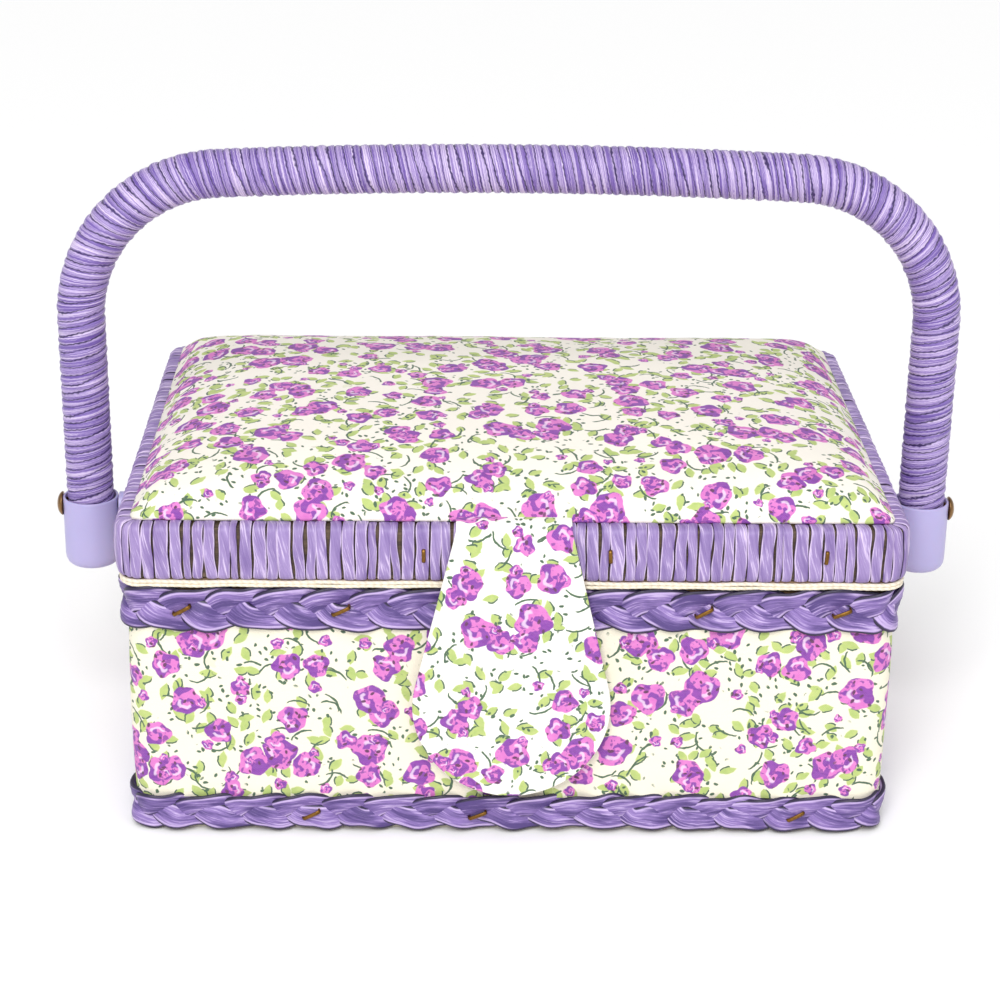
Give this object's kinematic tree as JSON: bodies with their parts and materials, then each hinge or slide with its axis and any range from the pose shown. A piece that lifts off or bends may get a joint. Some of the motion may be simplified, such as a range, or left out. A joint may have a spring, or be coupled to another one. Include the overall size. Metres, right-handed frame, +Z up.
{
  "type": "sewing box",
  "caption": "Fabric-covered sewing box with plaited raffia trim, padded hinged lid, magnetic front flap, swinging wrapped handle and lift-out trays.",
  "frame": {"origin": "middle of the underside, on the surface the box stands on", "axes": "+Z up, the front with the flap faces -Y, +X along the width to the right seen from the front"},
  "size_m": [0.2996, 0.1777, 0.2003],
  "materials": {
    "board_wood": "plain hardboard",
    "rail_wood": "unfinished softwood",
    "base_paper": "matt backing paper",
    "printed_cotton": "plain-woven cotton with a small floral print",
    "flap_cotton": "plain-woven cotton with a small floral print",
    "satin_lining": "satin weave",
    "cushion_velvet": "short-pile velvet",
    "gimp_cotton": "twisted cotton gimp",
    "foam": "soft open-cell foam",
    "card": "grey board",
    "raffia_braid": "glossy synthetic raffia, plaited",
    "raffia_wrap": "satin synthetic raffia, wound flat",
    "raffia_handle": "glossy synthetic raffia, wound tight",
    "ferrule_plastic": "moulded, satin",
    "core_plastic": "extruded",
    "tray_plastic": "moulded, slightly translucent",
    "brass": "stamped, satin",
    "brass_wire": "drawn wire",
    "steel": "drawn, bright"
  },
  "bodies": {
    "chest": {"front_panel": "board_wood", "rear_panel": "board_wood", "left_panel": "board_wood", "right_panel": "board_wood", "base_board": "board_wood", "base_cover": "base_paper", "outer_fabric": "printed_cotton", "inner_lining": "satin_lining", "rim_braid": "raffia_braid", "base_braid": "raffia_braid", "braid_staples": "brass_wire", "ledge_front": "board_wood", "ledge_rear": "board_wood", "catch_plate": "steel", "hinge_body_leaf_left": "brass", "hinge_body_leaf_right": "brass", "hinge_screws_body": "brass", "pivot_bush_left": "ferrule_plastic", "pivot_bush_right": "ferrule_plastic", "rivet_left": "brass", "rivet_right": "brass", "rivet_washers": "brass"},
    "hinge_pins": {"hinge_pin_left": "steel", "hinge_pin_right": "steel"},
    "lid": {"lid_rail_front": "rail_wood", "lid_rail_rear": "rail_wood", "lid_rail_left": "rail_wood", "lid_rail_right": "rail_wood", "lid_wrap_front": "raffia_wrap", "lid_wrap_rear": "raffia_wrap", "lid_wrap_left": "raffia_wrap", "lid_wrap_right": "raffia_wrap", "lid_board": "board_wood", "lid_foam": "foam", "lid_cover": "printed_cotton", "lid_lining": "satin_lining", "lid_gimp": "gimp_cotton", "lid_pocket": "satin_lining", "pincushion": "cushion_velvet", "lid_staples": "brass_wire", "hinge_lid_leaf_left": "brass", "hinge_lid_leaf_right": "brass", "hinge_screws_lid": "brass", "flap_anchor": "flap_cotton"},
    "flap": {"flap_front_ply": "flap_cotton", "flap_stiffener": "card", "flap_back_ply": "flap_cotton", "flap_magnet": "steel"},
    "handle": {"handle_core": "core_plastic", "handle_wrap": "raffia_handle", "ferrule_left": "ferrule_plastic", "ferrule_right": "ferrule_plastic"},
    "left_tray": {"tray_left": "tray_plastic"},
    "right_tray": {"tray_right": "tray_plastic"}
  },
  "joints": [
    {"name": "pin_turn", "type": "hinge", "parent": "chest", "child": "hinge_pins", "pos_m": [0, 0.0872, 0.0854], "axis": [-1, 0, 0], "range_deg": [0, 33]},
    {"name": "lid_hinge", "type": "hinge", "parent": "hinge_pins", "child": "lid", "pos_m": [0, 0.0872, 0.0854], "axis": [-1, 0, 0], "range_deg": [0, 33]},
    {"name": "flap_fold", "type": "hinge", "parent": "lid", "child": "flap", "pos_m": [0, -0.0866, 0.1051], "axis": [-1, 0, 0], "range_deg": [0, 120]},
    {"name": "handle_swing", "type": "hinge", "parent": "chest", "child": "handle", "pos_m": [0, 0, 0.077], "axis": [1, 0, 0], "range_deg": [-118, 118]},
    {"name": "tray_left_lift", "type": "slide", "parent": "chest", "child": "left_tray", "axis": [0, 0, 1], "range_m": [0, 0.012]},
    {"name": "tray_right_lift", "type": "slide", "parent": "chest", "child": "right_tray", "axis": [0, 0, 1], "range_m": [0, 0.012]}
  ]
}
